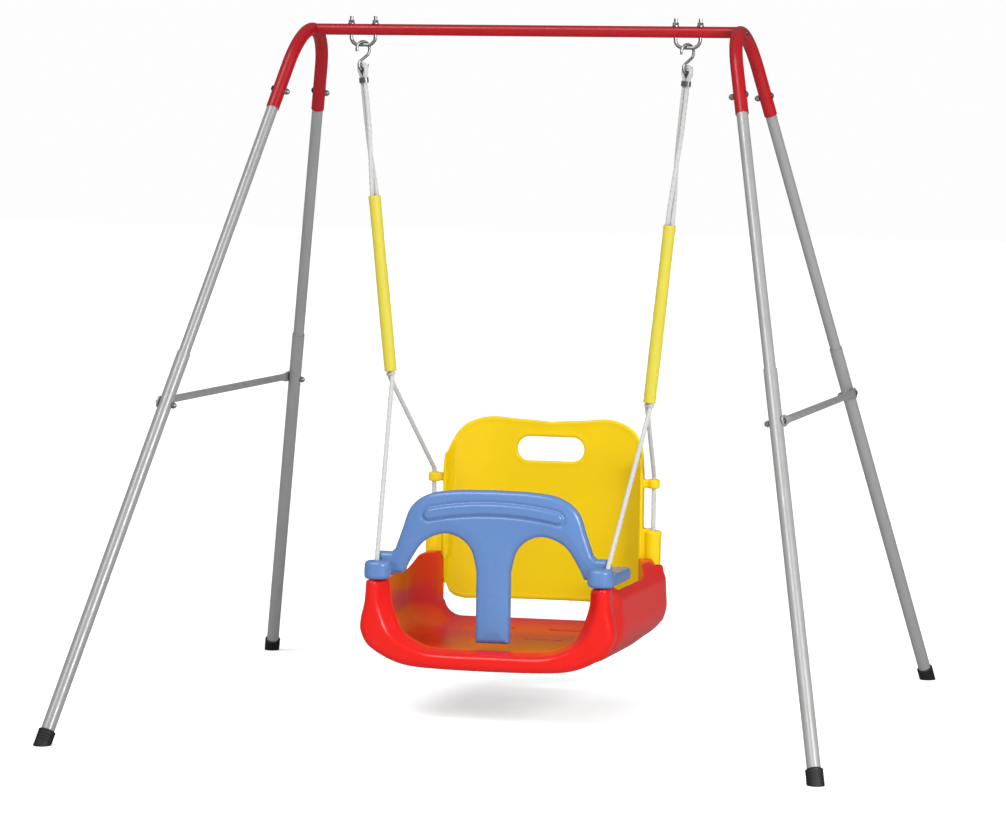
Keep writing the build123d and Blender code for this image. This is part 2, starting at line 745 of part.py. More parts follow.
# ---------------------------------------------------------------- T-bar
def tbar_panel():
    """Front view of the guard: arched crosspiece on two feet, and the stem in the middle."""
    top = [(0, 389), (66, 387), (112, 379), (142, 357), (157, 318), (167, 284)]
    arch = [(154, 246), (142, 270), (120, 300), (86, 314), (57, 307), (38, 287), (29, 254)]
    low = arch[0][1]
    half = [
        Spline(*top),
        Polyline(top[-1], (172, TBAR_SHELF_Z), (TBAR_SHELF_X, TBAR_SHELF_Z), (TBAR_SHELF_X, low)),
        Line((TBAR_SHELF_X, low), arch[0]),
        Spline(*arch),
        Polyline(arch[-1], (29, 134), (0, 134)),
    ]
    low_y, high_y = TBAR_Y - TBAR_T / 2, TBAR_Y + TBAR_T / 2
    return curved_prism(both_sides(half), Plane.XZ, -high_y, -low_y)


def strand_lean(side):
    """Unit direction of a front strand, from its post up to where the strands part."""
    top = Vector(*on_rope(side, -STRAND, rope_length(side)))
    return (top - Vector(side * POST_X, FRONT_Y, RIM_Z + 1)).normalized()


def slide_direction():
    """The guard slides up midway between the two front strands."""
    both = strand_lean(-1) + strand_lean(1)
    return Vector(0, both.Y, both.Z).normalized()


def t_bar():
    """Guard: crosspiece, stem between the legs, and a cap over each front rope post."""
    bar = tbar_panel()
    slide = slide_direction()
    for side in SIDES.values():
        x = side * POST_X
        cap_x = side * TBAR_CAP_X
        cap = Pos(cap_x, FRONT_Y, TBAR_LOW) * extrude(
            SlotOverall(2 * TBAR_CAP_R + 6, 2 * TBAR_CAP_R), TBAR_CAP_TOP - TBAR_LOW
        )
        bar += fillet(cap.edges().group_by(Axis.Z)[-1], 9)
        tail = Pos(0, TBAR_TAIL_END) * Circle(TBAR_CAP_R - 2)
        tail += Pos(0, (FRONT_Y + TBAR_TAIL_END) / 2) * Rectangle(
            2 * TBAR_CAP_R - 4, TBAR_TAIL_END - FRONT_Y
        )
        bar += Pos(x, 0, TBAR_LOW) * extrude(tail, TBAR_TAIL_TOP - TBAR_LOW)
        # The hole widens outward, because the strands spread further up the slide.
        lean = strand_lean(side)
        base = Vector(x, FRONT_Y, RIM_Z + 1)
        for step in range(HOLE_STEPS):
            drift = (lean - slide) * (TBAR_TRAVEL * step / (HOLE_STEPS - 1))
            start = base + drift - lean * 12
            bar -= rod(tuple(start), tuple(start + lean * 100), ROPE_R + 0.8)
    return bar


# ---------------------------------------------------------------- write the parts
def parts():
    made = {
        "top_bar": top_bar(),
        "apex_bolts": apex_bolts(),
        "apex_cap_nuts": apex_nuts(),
        "spreader_bolts": spreader_bolts(),
        "spreader_cap_nuts": spreader_nuts(),
        "crown_bolts": crown_bolts(),
        "bar_end_plugs": bar_end_plugs(),
        "hanger_washers": hanger_washers(),
        "hanger_nuts": hanger_nuts(),
        "seat_shell": seat_shell(),
        "backrest": backrest(),
        "t_bar": t_bar(),
    }
    for name, side in SIDES.items():
        made[f"{name}_apex_bend"] = apex_bend(side)
        made[f"{name}_spreader"] = spreader(side)
        made[f"{name}_u_bolt"] = u_bolt(side)
        made[f"{name}_s_hook"] = s_hook(side)
        made[f"{name}_rope"] = rope(side)
        made[f"{name}_thimble"] = thimble(side)
        made[f"{name}_ferrule"] = ferrule(side)
        made[f"{name}_strand_clamp"] = strand_clamp(side)
        made[f"{name}_grip"] = grip(side)
        for place, end in ENDS.items():
            made[f"{name}_{place}_upper_leg"] = upper_leg(side, end)
            made[f"{name}_{place}_lower_leg"] = lower_leg(side, end)
            made[f"{name}_{place}_foot"] = foot_cap(side, end)
    return made


os.makedirs("parts", exist_ok=True)
for node, shape in parts().items():
    export_step(shape, f"parts/{node}.step")
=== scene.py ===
import json
import math

import bpy
import numpy as np
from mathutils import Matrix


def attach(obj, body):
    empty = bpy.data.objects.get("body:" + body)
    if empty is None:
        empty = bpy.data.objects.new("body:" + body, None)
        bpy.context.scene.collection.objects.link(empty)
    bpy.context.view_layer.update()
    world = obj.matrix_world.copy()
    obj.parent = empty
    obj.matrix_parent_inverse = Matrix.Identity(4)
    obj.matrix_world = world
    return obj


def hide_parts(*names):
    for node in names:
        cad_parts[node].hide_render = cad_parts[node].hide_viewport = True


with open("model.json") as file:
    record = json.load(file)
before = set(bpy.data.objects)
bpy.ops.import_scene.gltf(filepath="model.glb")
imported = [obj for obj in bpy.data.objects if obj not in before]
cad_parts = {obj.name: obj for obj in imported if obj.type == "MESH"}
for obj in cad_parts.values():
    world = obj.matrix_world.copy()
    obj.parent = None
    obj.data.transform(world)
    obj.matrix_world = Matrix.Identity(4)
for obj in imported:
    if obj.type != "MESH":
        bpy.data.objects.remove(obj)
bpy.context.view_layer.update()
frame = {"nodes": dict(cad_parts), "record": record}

import openvdb
from mathutils import Matrix, Vector

# Looks of the toddler swing set. Shapes are worked out in millimetres, in the frame's own
# axes (+X along the top bar, +Z up, the child faces -Y), and become metres when meshed.

NODES = frame["nodes"]
MM = 0.001
SIDES = {"left": -1, "right": 1}
FULL_TURN = 2 * math.pi


# ---------------------------------------------------------------- shape fields
# A field is a signed distance in millimetres on a grid: negative inside the plastic.

class Grid:
    def __init__(self, low, high, step):
        self.step = step
        self.low = np.array(low, np.float32)
        count = [int(math.ceil((b - a) / step)) + 1 for a, b in zip(low, high)]
        axes = [a + step * np.arange(n, dtype=np.float32) for a, n in zip(low, count)]
        self.x = axes[0][:, None, None]
        self.y = axes[1][None, :, None]
        self.z = axes[2][None, None, :]


def smooth_step(value, start, end):
    t = np.clip((value - start) / (end - start), 0, 1)
    return t * t * (3 - 2 * t)


def bell(value, middle, width):
    return np.exp(-(((value - middle) / width) ** 2))


def join(a, b, soft):
    """Union with a fillet of about the given size."""
    h = np.clip(0.5 + 0.5 * (b - a) / soft, 0, 1)
    return b + (a - b) * h - soft * h * (1 - h)


def cut(a, b, soft):
    """Takes b away from a, with a rounded edge."""
    return -join(-a, b, soft)


def both(a, b, radius):
    """Intersection whose meeting edge is rounded to the radius."""
    a, b = a + radius, b + radius
    outside = np.sqrt(np.maximum(a, 0) ** 2 + np.maximum(b, 0) ** 2)
    return outside + np.minimum(np.maximum(a, b), 0) - radius


def between(value, low, high):
    """Distance to the slab from low to high."""
    return abs(value - (low + high) / 2) - (high - low) / 2


def stadium(u, v, half, radius):
    """Distance to a flat shape with round ends, its straight sides running along u."""
    return np.sqrt(np.maximum(abs(u) - half, 0) ** 2 + v**2) - radius


def trough(g, half_width, bottom, corner):
    """Distance to a U-shaped trough, open at the top."""
    return both(abs(g.x) - half_width, bottom - g.z, corner)


def rounded_box(g, centre, half, radius):
    q = [abs(axis - c) - h + radius for axis, c, h in zip((g.x, g.y, g.z), centre, half)]
    outside = np.sqrt(sum(np.maximum(v, 0) ** 2 for v in q))
    return outside + np.minimum(np.maximum(np.maximum(q[0], q[1]), q[2]), 0) - radius


def upright_post(g, x, y, low, high, radius, edge):
    ring = np.sqrt((g.x - x) ** 2 + (g.y - y) ** 2) - radius
    return both(ring, between(g.z, low, high), edge)


def capsule(g, a, b, radius):
    a, b = np.array(a, np.float32), np.array(b, np.float32)
    run = b - a
    from_a = (g.x - a[0], g.y - a[1], g.z - a[2])
    t = np.clip(sum(v * r for v, r in zip(from_a, run)) / (run @ run), 0, 1)
    return np.sqrt(sum((v - t * r) ** 2 for v, r in zip(from_a, run))) - radius


def curve_through(points, steps):
    """Smooth open curve through the points (Catmull-Rom), as a list of points."""
    pts = [np.array(p, float) for p in points]
    pts = [2 * pts[0] - pts[1]] + pts + [2 * pts[-1] - pts[-2]]
    made = []
    for a, b, c, d in zip(pts, pts[1:], pts[2:], pts[3:]):
        for t in np.arange(steps) / steps:
            made.append(
                0.5 * (2 * b + (c - a) * t + (2 * a - 5 * b + 4 * c - d) * t**2
                       + (3 * b - a - 3 * c + d) * t**3)
            )
    made.append(pts[-2])
    return [tuple(p) for p in made]


def mirrored(half):
    """Closes an outline drawn for x > 0, from its top to its foot."""
    return list(half) + [(-x, v) for x, v in reversed(half)]


def line_distance(points, u, v):
    """Distance to an open line of points, for grid values u and v."""
    best = np.full(np.broadcast(u, v).shape, 1e9, np.float32)
    for (u0, v0), (u1, v1) in zip(points, points[1:]):
        du, dv = u1 - u0, v1 - v0
        if du * du + dv * dv < 1e-9:
            continue
        t = np.clip(((u - u0) * du + (v - v0) * dv) / (du * du + dv * dv), 0, 1)
        best = np.minimum(best, (u - u0 - t * du) ** 2 + (v - v0 - t * dv) ** 2)
    return np.sqrt(best)


def outline_distance(points, u, v):
    """Signed distance to a closed outline, for grid values u and v."""
    closed = points + points[:1]
    inside = np.zeros(np.broadcast(u, v).shape, bool)
    for (u0, v0), (u1, v1) in zip(closed, closed[1:]):
        if v0 != v1:
            inside ^= ((v0 > v) != (v1 > v)) & (u < (u1 - u0) * (v - v0) / (v1 - v0) + u0)
    return np.where(inside, -1, 1) * line_distance(closed, u, v)


def sample(field, at):
    """Trilinear value of a grid array at points given in grid steps."""
    low = np.clip(np.floor(at).astype(int), 0, np.array(field.shape) - 2)
    part = at - low
    total = np.zeros(len(at))
    for i in (0, 1):
        for j in (0, 1):
            for k in (0, 1):
                weight = np.ones(len(at))
                for axis, corner in enumerate((i, j, k)):
                    weight = weight * (part[:, axis] if corner else 1 - part[:, axis])
                total += weight * field[low[:, 0] + i, low[:, 1] + j, low[:, 2] + k]
    return total


def field_mesh(name, g, field):
    """Meshes the zero surface of a field."""
    limit = 3 * g.step
    field = np.ascontiguousarray(np.clip(field, -limit, limit), dtype=np.float32)
    vdb = openvdb.FloatGrid()
    vdb.background = limit
    vdb.copyFromArray(field)
    vdb.gridClass = openvdb.GridClass.LEVEL_SET
    at, triangles, quads = vdb.convertToPolygons(isovalue=0.0, adaptivity=0.0)
    at = at.astype(float)
    # two short steps along the slope put the points on the surface itself
    for _ in range(2):
        slope = np.stack(
            [sample(field, at + step) - sample(field, at - step) for step in 0.5 * np.eye(3)], 1
        )
        size = np.maximum((slope**2).sum(1), 1e-4)
        at -= np.clip((sample(field, at) / size)[:, None] * slope, -0.5, 0.5)
    points = (at * g.step + g.low) * MM
    # OpenVDB winds its faces inwards
    faces = [tuple(f[::-1]) for f in quads.tolist() + triangles.tolist()]
    return new_object(name, points.tolist(), faces)


def new_object(name, points, faces):
    mesh = bpy.data.meshes.new(name)
    mesh.from_pydata(points, [], faces)
    mesh.validate()
    mesh.shade_smooth()
    made = bpy.data.objects.new(name, mesh)
    bpy.context.scene.collection.objects.link(made)
    return made


# ---------------------------------------------------------------- dimensions
VOXEL = 1.7
FOOT_VOXEL = 0.75

# seat: the cords come down through a post at each of its corners, to a knot below
POST_X = 193.0
FRONT_Y = -200.0
REAR_X = 196.0
REAR_Y = 195.0
RIM_Z = 237.0
REAR_POST_TOP = 236.0
KNOT_Z = {FRONT_Y: 163.0, REAR_Y: 177.0}
KNOT_ROOM = 12.5
KNOT_HOLE_R = 10.0
CORD_HOLE_R = 4.8
FRONT_HALF = 20.0
FRONT_ROUND = 13.0
FLARE_BELOW = 7.0
FLARE_BESIDE = 16.0
FLARE_ROUND = 11.0
TUB_FRONT = -195.0
TUB_REAR = REAR_Y + 18
TUB_HALF = 210.0
TUB_UNDER = 97.0
TUB_CORNER = 74.0
BEHIND_FRAME = -172.0
SET_IN = 7.0
CHEEK = 3.5
REAR_WIDER = 8.0
REAR_RISE = 13.5
REAR_THICKER = 34.0
REAR_CORNER = 32.0
FLOOR_TOP = 121.0
FLOOR_CORNER = 58.0
WALL = 9.0
SHOULDER_Z = 213.0
REAR_POST_R = 18.0
REBATE_HALF_X = 180.7
TAB_ROOM_HALF = (40, 20, 26)
DRAIN_SLOTS = ((46, 15), (66, 125))
DRAIN_HALF = 31.0
DRAIN_R = 4.0
BAY_SIZE = (135, 44, 22)
BAY_FIRST_Y = -115.0
BAY_STEP = 98.0
BAY_Z = 92.0

# backrest: a curved sheet with a hand slot, a lug for the cord and a tab on each rear post
WING_X = 175.5
WING_Y = 190.0
SHEET_Y = 253.5
SHEET_HALF = 2.5
BEAD = 0.8
HAND_SLOT_Z = 427.0
HAND_SLOT_HALF = 38.5
HAND_SLOT_R = 21.0
LUG_Z = 377.0
LUG_HALF = 8.0
LUG_R = 10.0
LUG_HOLE_R = 4.7
TAB_TOP = 296.0
TAB_R = 14.6
WEB_X = 183.0
WEB_HALF = (14, 11, 30.5)
NECK_HALF = (12, 7, 7)

# T-bar: a panel whose two caps slide up the front strands
BAR_Y = -162.0
BAR_HALF = 10.5
BAR_CROWN = 3.0
PAD_HALF = 109.0
PAD_R = 10.0
PAD_TOP_Z = 358.0
PAD_DROP = 0.00095
PAD_HEIGHT = 3.2
GROOVE = 2.2
CAP_X = 189.0
CAP_R = 19.0
CAP_BOTTOM = 238.2
CAP_TOP = 269.0
TAIL_R = 17.0
TAIL_TOP = 258.0
TAIL_END = -62.0
STEM_ROOM = 60.0
STRAND_HOLE_R = 4.9
GUARD_LIFT = 100.0

# ropes: one cord a side, doubled round a thimble and parted again at the split
ROPE_R = 4.0
STRAND = 4.06
LOOP_R = 10.3
HANGER_X = 280.0
EYE_Z = 1081.55
SPLIT_X = 224.0
SPLIT_Z = {-1: 562.0, 1: 521.0}
HOOK_YAW = math.radians(50)
STRANDS_FROM = 13.0
TWIST_FROM = 60.0
TWIST_BEFORE_SPLIT = 30.0
SWAY = 0.5
SWAY_WAVE = 34.0
KNOT_R = 5.0
KNOT_CORD_R = 3.3
KNOT_TURNS = 2.6
KNOT_PITCH = 5.6
BINDING_R = 5.05
BINDING_CORD_R = 0.9
BINDING_TURNS = 3.3
BINDING_HEIGHT = 5.0
BINDING_ABOVE_SPLIT = 7.2
GRIP_ABOVE_SPLIT = 9.0
GRIP_LENGTH = 300.0

# frame: the legs leave the top bar's bends and end in rubber caps
FOOT_X = 620.0
FOOT_Y = 630.0
CROWN_X = 369.0
CROWN_Z = 1150.0
BEND_R = 110.0
LEG_HOLE_R = 11.05
FOOT_R = 13.8
FOOT_LOW = -8.0
FOOT_HIGH = 27.0
FOOT_SOLE = 12.0
RIB = 0.35
RIB_PITCH = 4.6
LIP = 0.7
LIP_AT = 24.5


# ---------------------------------------------------------------- places on the swing set
def unit(v):
    return np.array(v, float) / np.linalg.norm(v)


class Rope:
    """A rope's line from its eye down to its split, and the two directions square to it."""

    def __init__(self, side):
        self.eye = np.array((side * HANGER_X, 0, EYE_Z))
        split = np.array((side * SPLIT_X, 0, SPLIT_Z[side]))
        self.length = np.linalg.norm(self.eye - split)
        self.up = unit(self.eye - split)
        across = np.array((-math.sin(HOOK_YAW), math.cos(HOOK_YAW), 0))
        self.across = unit(across - self.up * (across @ self.up))
        self.out = np.cross(self.across, self.up)

    def at(self, across_by, down):
        return self.eye + self.across * across_by - self.up * down

    def ring(self, middle, angle, radius):
        """Points round a middle, at the angles and radii given."""
        across = np.outer(radius * np.cos(angle), self.across)
        return middle + across + np.outer(radius * np.sin(angle), self.out)


def strand_lean(side):
    """Direction of a front strand from its post upwards."""
    rope = Rope(side)
    top = rope.at(-STRAND, rope.length)
    return unit(top - np.array((side * POST_X, FRONT_Y, RIM_Z + 1)))


def leg_line(side, end):
    """Foot point and upward direction of a leg's axis."""
    rise = math.hypot(FOOT_X - CROWN_X, CROWN_Z)
    arc = rise - BEND_R
    tilt = math.atan2(FOOT_Y, arc) - math.asin(BEND_R / math.hypot(FOOT_Y, arc))
    upright = unit((side * (CROWN_X - FOOT_X), 0, CROWN_Z))
    direction = math.cos(tilt) * upright - math.sin(tilt) * np.array((0, end, 0))
    return np.array((side * FOOT_X, end * FOOT_Y, 0.0)), direction


# ---------------------------------------------------------------- moulded parts
def front_frame(g):
    """Deep rounded U across the front, its mouth widening towards the child's legs."""
    outer = curve_through(
        [(206, 245), (207, 225), (209, 200), (215, 172), (215, 152), (203, 129), (180, 113),
         (152, 101), (120, 95), (60, 92.5), (0, 92)], 6)
    inner = curve_through(
        [(170, 300), (170, 237), (167, 200), (149, 155), (125, 137), (100, 128), (60, 126),
         (0, 126)], 6)
    beside = smooth_step(g.z, 118, 165)
    towards_legs = 1 - smooth_step(g.y, FRONT_Y - 22, FRONT_Y + 14)
    flare = (FLARE_BELOW + (FLARE_BESIDE - FLARE_BELOW) * beside) * towards_legs
    shell = outline_distance(mirrored(outer), g.x, g.z)
    mouth = outline_distance(mirrored(inner), g.x, g.z) - flare
    whole = both(shell, abs(g.y - FRONT_Y) - FRONT_HALF, FRONT_ROUND)
    return cut(both(whole, g.z - RIM_Z, 4), mouth, FLARE_ROUND)


def tub(g):
    """Floor and side walls: wider and higher at the rear, and thick round the rear posts."""
    along = np.clip((g.y - TUB_FRONT) / (TUB_REAR - TUB_FRONT), 0, 1)
    cheek = CHEEK * bell(g.z, 150, 32) * smooth_step(g.y, -178, -110)
    half = TUB_HALF + REAR_WIDER * along + cheek
    # just behind the front frame the walls and the underside stand in from it
    set_in = SET_IN * (1 - smooth_step(g.y, BEHIND_FRAME, -120))
    set_up = SET_IN * (1 - smooth_step(g.y, BEHIND_FRAME, -90))
    under = TUB_UNDER + set_up + 5 * smooth_step(g.y, 60, 210)
    outer = trough(g, half - set_in, under, TUB_CORNER)
    body = both(outer, between(g.y, TUB_FRONT, TUB_REAR), 8)
    # above the shoulder the walls lean in towards the rim, except inside the front frame
    lean = (2 * (abs(g.x) - half) + g.z - SHOULDER_Z) / math.sqrt(5)
    body = both(body, lean - 400 * (g.y < BEHIND_FRAME - 4), 2.5)
    rim_top = RIM_Z - 1 + REAR_RISE * smooth_step(g.y, -60, 115)
    body = both(body, g.z - rim_top, 3)
    rear = smooth_step(g.y, 50, 188)
    inside = half - set_in - WALL - REAR_THICKER * rear
    floor_top = FLOOR_TOP + 12 * smooth_step(g.y, 60, 230)
    corner = FLOOR_CORNER - (FLOOR_CORNER - REAR_CORNER) * rear
    return cut(body, trough(g, inside, floor_top, corner), 3)


def seat_field():
    g = Grid((-226, -224, 86), (226, 220, 256), VOXEL)
    seat = join(tub(g), front_frame(g), 2.5)
    for side in SIDES.values():
        rear_post = upright_post(g, side * REAR_X, REAR_Y, 140, REAR_POST_TOP, REAR_POST_R, 4)
        seat = join(seat, rear_post, 7)
        # the backrest's tab stands here
        tab_room = rounded_box(g, (side * REAR_X, REAR_Y, REAR_POST_TOP + 26), TAB_ROOM_HALF, 2)
        seat = cut(seat, tab_room, 1)
        for x, y in ((side * POST_X, FRONT_Y), (side * REAR_X, REAR_Y)):
            seat = cut(seat, capsule(g, (x, y, 60), (x, y, 300), CORD_HOLE_R), 1)
            knot_hole = upright_post(g, x, y, 60, KNOT_Z[y] + KNOT_ROOM, KNOT_HOLE_R, 1)
            seat = cut(seat, knot_hole, 1)
        for slot_x, slot_y in DRAIN_SLOTS:
            slot = stadium(g.x - side * slot_x, g.y - slot_y, DRAIN_HALF, DRAIN_R)
            seat = cut(seat, np.maximum(slot, 105 - g.z), 2.5)
    # the backrest stands in this rebate
    seat = cut(seat, rounded_box(g, (0, 248, 259), (REBATE_HALF_X, 60, 100), 3), 1.5)
    for bay in range(3):
        middle = (0, BAY_FIRST_Y + BAY_STEP * bay, BAY_Z)
        seat = cut(seat, rounded_box(g, middle, BAY_SIZE, 6), 2)
    return g, seat


def back_field():
    g = Grid((-216, 172, 156), (216, 264, 488), VOXEL)
    wing = [(-WING_X, WING_Y - 3), (-WING_X, WING_Y + 10), (-WING_X + 4.5, WING_Y + 24),
            (-WING_X + 15, WING_Y + 34), (-100, SHEET_Y - 10.5), (-50, SHEET_Y - 2.5)]
    plan = curve_through(wing + [(0, SHEET_Y)] + [(-x, y) for x, y in reversed(wing)], 8)
    sheet = line_distance(plan, g.x, g.y)
    top = curve_through([(0, 475), (60, 479), (110, 482), (149, 468), (170, 439), (179, 395)], 8)
    foot = curve_through([(179, 262), (177, 225), (175, 192), (168, 169), (148, 161)], 8)
    outline = outline_distance(mirrored(top + foot), g.x, g.z)
    slot = stadium(g.x, g.z - HAND_SLOT_Z, HAND_SLOT_HALF, HAND_SLOT_R)
    # the sheet's edge and the hand slot's edge are a little thicker
    bead = BEAD * bell(outline, -5, 4) + BEAD * bell(slot, 5, 4)
    back = both(both(sheet - SHEET_HALF - bead, outline, 3), -slot, 3)
    tab_low = REAR_POST_TOP + 0.5
    for side in SIDES.values():
        x = side * REAR_X
        lug = upright_post(g, x, REAR_Y, LUG_Z - LUG_HALF, LUG_Z + LUG_HALF, LUG_R, 3)
        neck = rounded_box(g, (side * WEB_X, REAR_Y + 2, LUG_Z), NECK_HALF, 3)
        back = join(back, join(lug, neck, 3), 5)
        tab = upright_post(g, x, REAR_Y, tab_low, TAB_TOP, TAB_R, 4)
        web = rounded_box(g, (side * WEB_X, REAR_Y + 5, 268), WEB_HALF, 4)
        back = join(back, np.maximum(join(tab, web, 4), tab_low - g.z), 6)
        back = cut(back, capsule(g, (x, REAR_Y, 200), (x, REAR_Y, 420), LUG_HOLE_R), 1.5)
        # clear of the seat's wall beside the tab
        wall = rounded_box(g, (side * 223, REAR_Y - 30, 250), (14.5, 44.5, 34), 2)
        back = np.maximum(back, -wall)
    return g, back


def bar_field():
    g = Grid((-218, -226, 130), (218, -38, 396), VOXEL)
    top = curve_through([(0, 389), (66, 387), (112, 379), (142, 357), (157, 318), (168, 287)], 8)
    shelf = [(174, 281), (199, 281), (199, 246)]
    arch = curve_through(
        [(154, 246), (142, 270), (120, 300), (86, 314), (57, 307), (38, 287), (29, 254)], 8)
    outline = outline_distance(mirrored(top + shelf + arch + [(29, 134)]), g.x, g.z)
    half = BAR_HALF + BAR_CROWN * smooth_step(-outline, 0, 24)
    bar = both(outline, abs(g.y - BAR_Y) - half, 8)
    # a long raised pad, with a shallow groove round it, follows the top edge
    pad = stadium(g.x, g.z - (PAD_TOP_Z - PAD_DROP * g.x**2), PAD_HALF, PAD_R)
    bar = bar - PAD_HEIGHT * smooth_step(-pad, -1, 5) + GROOVE * bell(pad, 2, 2.2)
    slide = unit((strand_lean(-1) + strand_lean(1)) * (0, 1, 1))
    for side in SIDES.values():
        ring = stadium(g.x - side * CAP_X, g.y - FRONT_Y, 3, CAP_R)
        cap = both(ring, between(g.z, CAP_BOTTOM, CAP_TOP), 8)
        tail_y = g.y - (FRONT_Y + TAIL_END) / 2
        tail = stadium(tail_y, g.x - side * POST_X, (TAIL_END - FRONT_Y) / 2, TAIL_R)
        tail = both(tail, between(g.z, CAP_BOTTOM, TAIL_TOP), 5)
        bar = join(join(bar, tail, 6), cap, 3.5)
        # the hole leaves room for the strand, which leans as the bar slides up
        lean = strand_lean(side)
        post_top = np.array((side * POST_X, FRONT_Y, RIM_Z + 1))
        for lift in np.linspace(0, GUARD_LIFT, 5):
            low = post_top + (lean - slide) * lift
            bar = cut(bar, capsule(g, low - lean * 14, low + lean * 90, STRAND_HOLE_R), 1.2)
    # the caps and tails are flat below, and only the stem goes lower
    stem = abs(g.x) < STEM_ROOM
    return g, np.maximum(bar, CAP_BOTTOM - g.z - 1000 * stem)


def foot_cap(name, side, end):
    """Rubber cap: ribbed sleeve with a rolled lip, flat where it stands on the floor."""
    at, up = leg_line(side, end)
    middle = at + up * FOOT_SOLE
    g = Grid(middle - 30, middle + 30, FOOT_VOXEL)
    along = (g.x - at[0]) * up[0] + (g.y - at[1]) * up[1] + (g.z - at[2]) * up[2]
    off = [axis - at[i] - along * up[i] for i, axis in enumerate((g.x, g.y, g.z))]
    radius = np.sqrt(sum(v**2 for v in off))
    ribbed = smooth_step(along, 3, 7) * smooth_step(-along, -22, -19)
    ribs = RIB * np.cos(along * FULL_TURN / RIB_PITCH) * ribbed
    lip = LIP * bell(along, LIP_AT, 1.6)
    cap = both(radius - FOOT_R - ribs - lip, between(along, FOOT_LOW, FOOT_HIGH), 4.5)
    cap = cut(cap, both(radius - LEG_HOLE_R, FOOT_SOLE - along, 0.5), 0.6)
    return field_mesh(name, g, np.maximum(cap, 0.1 - g.z))


# ---------------------------------------------------------------- ropes and sleeves
def resampled(points, step):
    """The same line with evenly spaced points."""
    pts = np.array(points, float)
    gaps = np.linalg.norm(np.diff(pts, axis=0), axis=1)
    far = np.concatenate(([0], np.cumsum(gaps)))
    at = np.linspace(0, far[-1], max(2, int(far[-1] / step)))
    return np.stack([np.interp(at, far, pts[:, i]) for i in range(3)], 1)


def softened(points, reach):
    """Rounds the corners of an evenly spaced line, with its two ends kept."""
    padded = np.pad(points, ((reach, reach), (0, 0)), mode="reflect", reflect_type="odd")
    kernel = np.hanning(2 * reach + 1)
    kernel /= kernel.sum()
    return np.stack([np.convolve(padded[:, i], kernel, mode="valid") for i in range(3)], 1)


def ring_faces(rows, around):
    """Faces between each ring of points and the next, for the numbers of the rings in order."""
    faces = []
    for row in range(len(rows) - 1):
        low, high = rows[row] * around, rows[row + 1] * around
        for k in range(around):
            n = (k + 1) % around
            faces.append((low + k, low + n, high + n, high + k))
    return faces


def swept(line, radius, around):
    """Points and faces of a tube along a line; radius(turn, far) gives each ring."""
    line = np.array(line, float)
    ahead = np.gradient(line, axis=0)
    ahead /= np.linalg.norm(ahead, axis=1)[:, None]
    far = np.concatenate(([0], np.cumsum(np.linalg.norm(np.diff(line, axis=0), axis=1))))
    side = np.cross(ahead[0], (0.3, 0.5, 0.8))
    turn = np.arange(around) * FULL_TURN / around
    rings = []
    for place, way, run in zip(line, ahead, far):
        side = unit(side - way * (side @ way))
        other = np.cross(way, side)
        # the last few millimetres at each end are rounded off
        close = min(run, far[-1] - run) / 3
        r = radius(turn, run) * math.sqrt(max(0.02, 1 - max(0, 1 - close) ** 2))
        rings.append(place + np.outer(r * np.cos(turn), side) + np.outer(r * np.sin(turn), other))
    faces = ring_faces(range(len(line)), around)
    last = (len(line) - 1) * around
    faces.append(tuple(range(around - 1, -1, -1)))
    faces.append(tuple(range(last, last + around)))
    return np.concatenate(rings), faces


def merged(name, parts):
    points, faces, count = [], [], 0
    for p, f in parts:
        points += (p * MM).tolist()
        faces += [tuple(count + i for i in face) for face in f]
        count += len(p)
    return new_object(name, points, faces)


def braid(radius, pitch=11.0, strands=8):
    """Section of a braided cord: two sets of strands winding opposite ways."""
    def ring(turn, far):
        wound = FULL_TURN * far / (pitch * strands / 2)
        one = np.cos(strands / 2 * (turn + wound))
        two = np.cos(strands / 2 * (turn - wound))
        return radius * (0.93 + 0.07 * np.maximum(one, two))
    return ring


def strand_run(rope, strand):
    """A strand from the eye to the split: once round the other one, and never quite straight."""
    run = []
    for down in [*np.arange(STRANDS_FROM, rope.length - 3, 6.0), rope.length]:
        twist = smooth_step(down, TWIST_FROM, rope.length - TWIST_BEFORE_SPLIT)
        turned = FULL_TURN * float(twist)
        # no sway at the eye or inside the sleeve
        free = smooth_step(down, 60, 110) * smooth_step(-down, 330 - rope.length, 390 - rope.length)
        sway = SWAY * math.sin(down / SWAY_WAVE) * float(free)
        arm = rope.across * math.cos(turned) + rope.out * math.sin(turned)
        run.append(rope.at(0, down) + arm * strand * STRAND + rope.out * sway)
    return run


def knot(low):
    """Turns of cord stacked on a point."""
    coil = []
    for t in np.linspace(0, KNOT_TURNS * FULL_TURN, 70):
        rise = 5.5 + KNOT_PITCH * t / FULL_TURN
        coil.append(low + np.array((KNOT_R * math.cos(t), KNOT_R * math.sin(t), rise)))
    return swept(coil, braid(KNOT_CORD_R), 20)


def rope_piece(name, side):
    """One braided cord, folded over the thimble and knotted under the seat at both ends."""
    rope = Rope(side)
    loop = [
        rope.at(LOOP_R * math.cos(a), -LOOP_R * math.sin(a)) for a in np.linspace(math.pi, 0, 21)
    ]
    front = [np.array((side * POST_X, FRONT_Y, z)) for z in (RIM_Z + 1, KNOT_Z[FRONT_Y] - 12)]
    lug = (LUG_Z + 14, LUG_Z - 14)
    back = [np.array((side * REAR_X, REAR_Y, z)) for z in (*lug, KNOT_Z[REAR_Y] - 12)]
    line = front[::-1] + strand_run(rope, -1)[::-1] + loop + strand_run(rope, 1) + back
    line = softened(resampled(line, 1.3), 5)
    return merged(name, [swept(line, braid(ROPE_R), 32), knot(front[-1]), knot(back[-1])])


